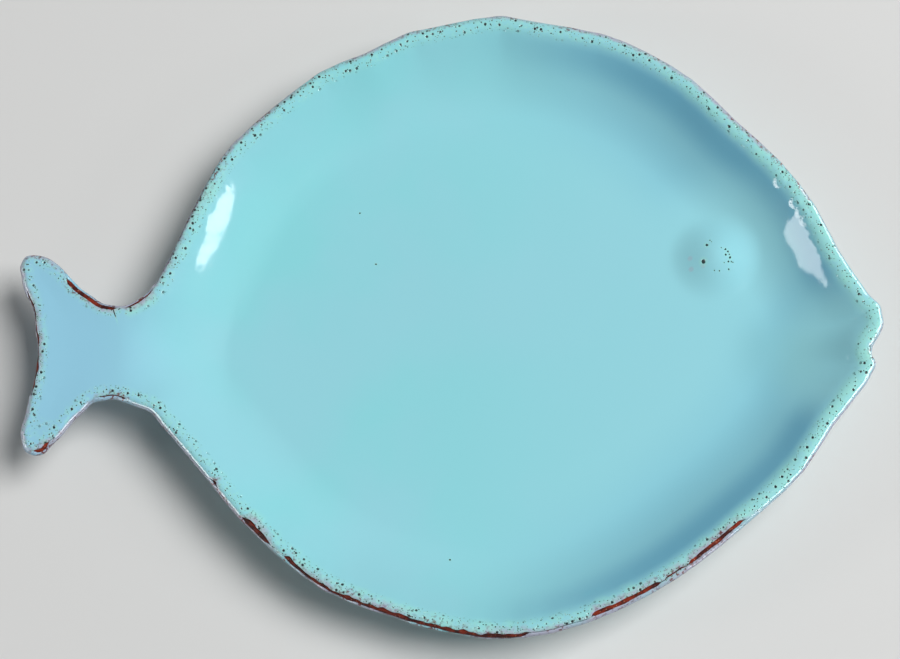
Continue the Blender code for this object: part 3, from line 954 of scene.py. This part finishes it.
class Nodes:
    """Short calls that add nodes to a tree and link them."""

    def __init__(self, tree):
        self.tree = tree

    def add(self, kind, feeds=None, **settings):
        """Add a node, set its options and feed its inputs."""
        node = self.tree.nodes.new("ShaderNode" + kind)
        for name, value in settings.items():
            setattr(node, name, value)
        for key, value in (feeds or {}).items():
            self.feed(node.inputs[key], value)
        return node

    def feed(self, socket, value):
        """Link an output to a socket, or set the socket's value."""
        if isinstance(value, bpy.types.NodeSocket):
            self.tree.links.new(value, socket)
        else:
            socket.default_value = value

    def math(self, operation, *values):
        """Result of a sum on sockets and numbers."""
        return self.add("Math", dict(enumerate(values)), operation=operation).outputs[0]

    def product(self, *values):
        """All values multiplied, from the first on."""
        return functools.reduce(functools.partial(self.math, "MULTIPLY"), values)

    def distance(self, vector, middle):
        """How far a place is from a middle."""
        return self.add("VectorMath", {0: vector, 1: middle}, operation="DISTANCE").outputs["Value"]

    def fade(self, value, start, end):
        """0 at the start and 1 at the end, eased. The end may be the lower one."""
        feeds = {"Value": value, "From Min": start, "From Max": end}
        return self.add("MapRange", feeds, interpolation_type="SMOOTHSTEP").outputs["Result"]

    def mix(self, share, first, second):
        """Blend of two colours."""
        return self.add("Mix", {0: share, 6: first, 7: second}, data_type="RGBA").outputs[2]

    def noise(self, vector, scale, detail=2.0):
        """Cloudy value round 0.5, with so many clouds to the metre."""
        return self.add("TexNoise", {"Vector": vector, "Scale": scale, "Detail": detail}).outputs["Fac"]

    def wander(self, value, vector, scale, reach):
        """A value pushed up and down by noise."""
        push = self.product(self.math("SUBTRACT", self.noise(vector, scale), 0.5), reach)
        return self.math("ADD", value, push)


def new_group(name, inputs, outputs):
    """An empty node group, with its nodes, its input sockets and its output sockets."""
    group = bpy.data.node_groups.new(name, "ShaderNodeTree")
    for label, kind in inputs.items():
        group.interface.new_socket(label, in_out="INPUT", socket_type="NodeSocket" + kind)
    for label, kind in outputs.items():
        group.interface.new_socket(label, in_out="OUTPUT", socket_type="NodeSocket" + kind)
    given = group.nodes.new("NodeGroupInput").outputs
    result = group.nodes.new("NodeGroupOutput").inputs
    return group, Nodes(group), given, result


@functools.cache
def tone_group():
    """Group: colour of a coat, which breaks to mint near the rim and thins out over its edge, with painted
    shade on the head's wall and in front of the mouth.
    """
    colours = {name.title(): "Color" for name in TONES}
    group, nodes, given, result = new_group(
        "glaze_tone",
        {"Vector": "Vector", "Way": "Float", "Edge": "Float", "Bare": "Float", "Reach": "Float", **colours},
        {"Color": "Color", "Thin": "Float"})
    place, way, bare = given["Vector"], given["Way"], given["Bare"]
    along, across, _ = nodes.add("SeparateXYZ", {0: place}).outputs
    clouds = nodes.fade(nodes.noise(place, scale=15, detail=3), 0.36, 0.64)
    clouds = nodes.product(clouds, nodes.fade(along, *GREEN_REACH))
    tone = nodes.mix(clouds, given["Aqua"], given["Green"])
    tone = nodes.mix(nodes.fade(along, *TAIL_REACH), tone, given["Blue"])
    # Painted shade in front of the mouth, where the wall faces away from the key light
    pool = nodes.product(nodes.fade(nodes.distance(place, MOUTH_SHADE_MIDDLE), *MOUTH_SHADE_REACH), MOUTH_SHADE_STRENGTH)
    tone = nodes.mix(pool, tone, given["Pool"])
    # Painted shade on the head's wall, which faces away from the key light: strongest where it is steep, left
    # off by the eye and inside the mouth
    wall = nodes.product(
        nodes.fade(way, *WALL_TOP), nodes.fade(way, *WALL_FOOT), nodes.fade(along, *HEAD_WALL),
        nodes.fade(nodes.distance(place, EYE_PLACE), *EYE_CLEAR),
        nodes.fade(nodes.distance(place, MOUTH), *MOUTH_CLEAR))
    steep = nodes.math("MULTIPLY_ADD", nodes.fade(way, *WALL_STEEP), 0.60, 0.40)
    tone = nodes.mix(nodes.product(wall, steep), tone, given["Wall_Shade"])
    head = nodes.fade(along, *HEAD_REACH)
    gaps = nodes.math("MULTIPLY_ADD", head, -0.25, 0.42)
    patchy = nodes.fade(nodes.noise(place, scale=190, detail=3), gaps, 0.70)
    near = nodes.fade(nodes.wander(way, place, scale=120, reach=0.003), *MINT_REACH)
    near = nodes.product(patchy, nodes.fade(way, *MINT_START), near)
    strong = nodes.math("MULTIPLY_ADD", bare, 0.5, nodes.math("MULTIPLY_ADD", head, 0.6, 0.14))
    tone = nodes.mix(nodes.product(near, strong), tone, given["Mint"])
    reach = nodes.product(given["Reach"], nodes.math("MULTIPLY_ADD", bare, 0.4, 1.0))
    edge = nodes.wander(nodes.math("ABSOLUTE", given["Edge"]), place, scale=420, reach=0.0012)
    edge = nodes.math("DIVIDE", edge, reach)
    veil = nodes.fade(nodes.noise(place, scale=55), 0.25, 0.6)
    thin = nodes.product(nodes.fade(edge, 1.0, 0.15), veil)
    tone = nodes.mix(thin, tone, given["Lilac"])
    patches = nodes.fade(nodes.noise(place, scale=75, detail=1), 0.48, 0.64)
    patches = nodes.math("MULTIPLY_ADD", bare, 0.5, patches)
    patches = nodes.math("MULTIPLY_ADD", nodes.fade(across, *RUST_SIDE), 0.40, patches)
    specks = nodes.fade(nodes.noise(place, scale=1000, detail=3), 0.51, 0.62)
    specks = nodes.product(specks, patches, nodes.fade(edge, 1.1, 0.1))
    specks = nodes.math("MINIMUM", specks, 1.0)
    nodes.feed(result["Color"], nodes.mix(specks, tone, given["Rust"]))
    nodes.feed(result["Thin"], nodes.math("MAXIMUM", specks, nodes.product(thin, 0.4)))
    return group


@functools.cache
def pinhole_group():
    """Group: scattered pinholes, one to a cell, and the halos round them."""
    group, nodes, given, result = new_group(
        "pinholes", {"Vector": "Vector", "Cells": "Float", "Size": "Float", "Share": "Float"},
        {"Pit": "Float", "Halo": "Float"})
    cells = nodes.add("TexVoronoi", {"Vector": given["Vector"], "Scale": given["Cells"]})
    chance = nodes.add("SeparateColor", {0: cells.outputs["Color"]}).outputs["Red"]
    there = nodes.math("LESS_THAN", chance, given["Share"])
    away = nodes.math("DIVIDE", cells.outputs["Distance"], given["Size"])
    nodes.feed(result["Pit"], nodes.product(there, nodes.fade(away, 1.0, 0.6)))
    nodes.feed(result["Halo"], nodes.product(there, nodes.fade(away, 2.6, 1.0)))
    return group


@functools.cache
def mark_group():
    """Group: one oval mark at a place, and the halo round it."""
    group, nodes, given, result = new_group(
        "single_mark", {"Vector": "Vector", "Middle": "Vector", "Reach": "Vector", "Turn": "Float"},
        {"Pit": "Float", "Halo": "Float"})
    place = given["Vector"]
    rough = nodes.wander(0.0, place, scale=1500, reach=0.5)
    offset = nodes.add("VectorMath", {0: place, 1: given["Middle"]}, operation="SUBTRACT").outputs[0]
    turned = nodes.add("VectorRotate", {"Vector": offset, "Angle": given["Turn"]}, rotation_type="Z_AXIS")
    shares = nodes.add("VectorMath", {0: turned.outputs[0], 1: given["Reach"]}, operation="DIVIDE").outputs[0]
    away = nodes.add("VectorMath", {0: shares}, operation="LENGTH").outputs["Value"]
    away = nodes.math("ADD", away, rough)
    nodes.feed(result["Pit"], nodes.fade(away, 1.1, 0.7))
    nodes.feed(result["Halo"], nodes.fade(away, 2.6, 1.0))
    return group


@functools.cache
def grain_group():
    """Group: fired clay with burnt clouds, pale grains and a gritty surface."""
    group, nodes, given, result = new_group(
        "clay_grain",
        {"Vector": "Vector", "Red": "Color", "Dark": "Color", "Sand": "Color", "Burnt": "Float"},
        {"Color": "Color", "Height": "Float"})
    place = given["Vector"]
    clouds = nodes.math("ADD", nodes.noise(place, scale=420, detail=4), given["Burnt"])
    tone = nodes.mix(nodes.fade(clouds, 0.38, 0.60), given["Red"], given["Dark"])
    grains = nodes.add("TexVoronoi", {"Vector": place, "Scale": 1500.0}).outputs["Distance"]
    kept = nodes.math("GREATER_THAN", nodes.noise(place, scale=900, detail=0), 0.55)
    pale = nodes.product(nodes.fade(grains, 0.36, 0.16), 0.55, kept)
    nodes.feed(result["Color"], nodes.mix(pale, tone, given["Sand"]))
    grit = nodes.product(nodes.noise(place, scale=2200, detail=3), GRIT_HEIGHT)
    lumps = nodes.product(nodes.noise(place, scale=500), LUMP_HEIGHT)
    nodes.feed(result["Height"], nodes.math("ADD", grit, lumps))
    return group


def new_material(name):
    """A node material, the short calls for its tree, its Principled shader and its object coordinates."""
    material = bpy.data.materials.new(name)
    material.use_nodes = True
    nodes = Nodes(material.node_tree)
    place = nodes.add("TexCoord").outputs["Object"]
    return material, nodes, material.node_tree.nodes["Principled BSDF"], place


def paint(colour):
    """A colour with its alpha."""
    return (*colour, 1.0)


def floor_material(colour):
    """Plain pale floor, a little cloudy."""
    material, nodes, shader, place = new_material("floor")
    tone = nodes.mix(nodes.noise(place, scale=3), paint(colour), paint([value * 0.97 for value in colour]))
    nodes.feed(shader.inputs["Base Color"], tone)
    shader.inputs["Roughness"].default_value = FLOOR_ROUGHNESS
    return material


def single_mark(nodes, place, middle, reach, turn=0.0):
    """Outputs of the group that draws one mark, turned by degrees."""
    feeds = {"Vector": place, "Middle": middle, "Reach": reach, "Turn": math.radians(turn)}
    return nodes.add("Group", feeds, node_tree=mark_group()).outputs


def glaze_material(name, reach):
    """Glossy glaze with pinholes near the rim, thin over the clay up to a distance from the coat's edge."""
    look = bpy.context.scene.plate_glaze
    material, nodes, shader, place = new_material(name)
    way, edge, bare = (nodes.add("Attribute", attribute_name=item).outputs["Fac"] for item in ATTRIBUTES)
    colours = {item.title(): paint(getattr(look, item)) for item in TONES}
    tone = nodes.add("Group", {
        "Vector": place, "Way": way, "Edge": edge, "Bare": bare, "Reach": reach, **colours},
        node_tree=tone_group()).outputs
    band = nodes.product(nodes.fade(way, *HOLES_START), nodes.fade(way, *HOLES_END))
    pits, halos, lumps = [], [], []
    tint = tone["Color"]
    for cells, size, share in PINHOLES:
        holes = nodes.add("Group", {
            "Vector": place, "Cells": cells, "Size": size, "Share": share}, node_tree=pinhole_group()).outputs
        pits.append(nodes.product(holes["Pit"], band))
        halos.append(nodes.product(holes["Halo"], band))
    if name == FACE_GLAZE:
        for middle, size, turn in MARKS:
            mark = single_mark(nodes, place, middle, size, turn)
            pits.append(mark["Pit"])
            halos.append(mark["Halo"])
        for middle in GLINTS:
            swell = single_mark(nodes, place, middle, GLINT_REACH)
            lumps.append(nodes.product(swell["Halo"], GLINT_HEIGHT))
        for middle in SPOTS:
            spot = single_mark(nodes, place, middle, SPOT_REACH)
            tint = nodes.mix(nodes.product(spot["Halo"], SPOT_STRENGTH), tint, paint(look.lilac))
    pit = functools.reduce(functools.partial(nodes.math, "MAXIMUM"), pits)
    halo = functools.reduce(functools.partial(nodes.math, "MAXIMUM"), halos)
    colour = nodes.mix(nodes.product(halo, HALO_STRENGTH), tint, paint(look.mint))
    nodes.feed(shader.inputs["Base Color"], nodes.mix(pit, colour, paint(look.pit)))
    dull = nodes.math("MULTIPLY_ADD", nodes.math("MAXIMUM", pit, tone["Thin"]), HOLE_DULL, look.gloss)
    nodes.feed(shader.inputs["Roughness"], dull)
    ripple = nodes.product(
        nodes.noise(place, scale=260, detail=1), RIPPLE_HEIGHT, nodes.fade(way, *RIPPLE_REACH))
    slow = nodes.product(nodes.noise(place, scale=60, detail=1), SWELL_HEIGHT)
    lumps += [ripple, slow, nodes.product(pit, -HOLE_DEPTH)]
    height = functools.reduce(functools.partial(nodes.math, "ADD"), lumps)
    bump = nodes.add("Bump", {"Height": height, "Distance": 1.0})
    nodes.feed(shader.inputs["Normal"], bump.outputs["Normal"])
    return material


def clay_material(name, pale):
    """Fired red clay, sandier and paler where it was wiped."""
    look = bpy.context.scene.plate_clay
    material, nodes, shader, place = new_material(name)
    red = Vector(look.red).lerp(Vector(look.sand), pale)
    grain = nodes.add("Group", {
        "Vector": place, "Red": paint(red), "Dark": paint(look.dark), "Sand": paint(look.sand),
        "Burnt": -pale / 8}, node_tree=grain_group()).outputs
    nodes.feed(shader.inputs["Base Color"], grain["Color"])
    shader.inputs["Roughness"].default_value = CLAY_ROUGHNESS
    shader.inputs["Specular IOR Level"].default_value = CLAY_SHINE
    bump = nodes.add("Bump", {"Height": grain["Height"], "Distance": 1.0})
    nodes.feed(shader.inputs["Normal"], bump.outputs["Normal"])
    return material


class PLATE_PT_panel(bpy.types.Panel):
    """Lists the plate's pieces and sizes in the sidebar"""

    bl_idname = "PLATE_PT_panel"
    bl_label = "Fish Plate"
    bl_space_type = "VIEW_3D"
    bl_region_type = "UI"
    bl_category = "Plate"

    def draw(self, context):
        for operator in OPERATORS:
            self.layout.operator(operator.bl_idname)
        for name in PROPERTIES:
            group = getattr(context.scene, name)
            for key in group.__annotations__:
                self.layout.prop(group, key)


OPERATORS = (
    PLATE_OT_clay_dish,
    PLATE_OT_face_coat,
    PLATE_OT_back_coat,
    PLATE_OT_recess_coat,
    PLATE_OT_clay_foot,
    PLATE_OT_clay_eye,
    PLATE_OT_stage,
)
PROPERTIES = {
    "plate_shape": PlateShape,
    "plate_glaze": GlazeLook,
    "plate_clay": ClayLook,
    "plate_stage": StageLook,
}


def register():
    for group in PROPERTIES.values():
        bpy.utils.register_class(group)
    for name, group in PROPERTIES.items():
        setattr(bpy.types.Scene, name, PointerProperty(type=group))
    for item in (*OPERATORS, PLATE_PT_panel):
        bpy.utils.register_class(item)


def unregister():
    for item in (PLATE_PT_panel, *reversed(OPERATORS)):
        bpy.utils.unregister_class(item)
    for name in PROPERTIES:
        delattr(bpy.types.Scene, name)
    for group in reversed(PROPERTIES.values()):
        bpy.utils.unregister_class(group)


def main():
    register()
    bpy.context.scene.view_settings.view_transform = "Standard"
    bpy.ops.plate.clay_dish()
    bpy.ops.plate.face_coat()
    bpy.ops.plate.back_coat()
    bpy.ops.plate.recess_coat()
    bpy.ops.plate.clay_foot()
    bpy.ops.plate.clay_eye()
    bpy.ops.plate.stage()


if __name__ == "__main__":
    main()
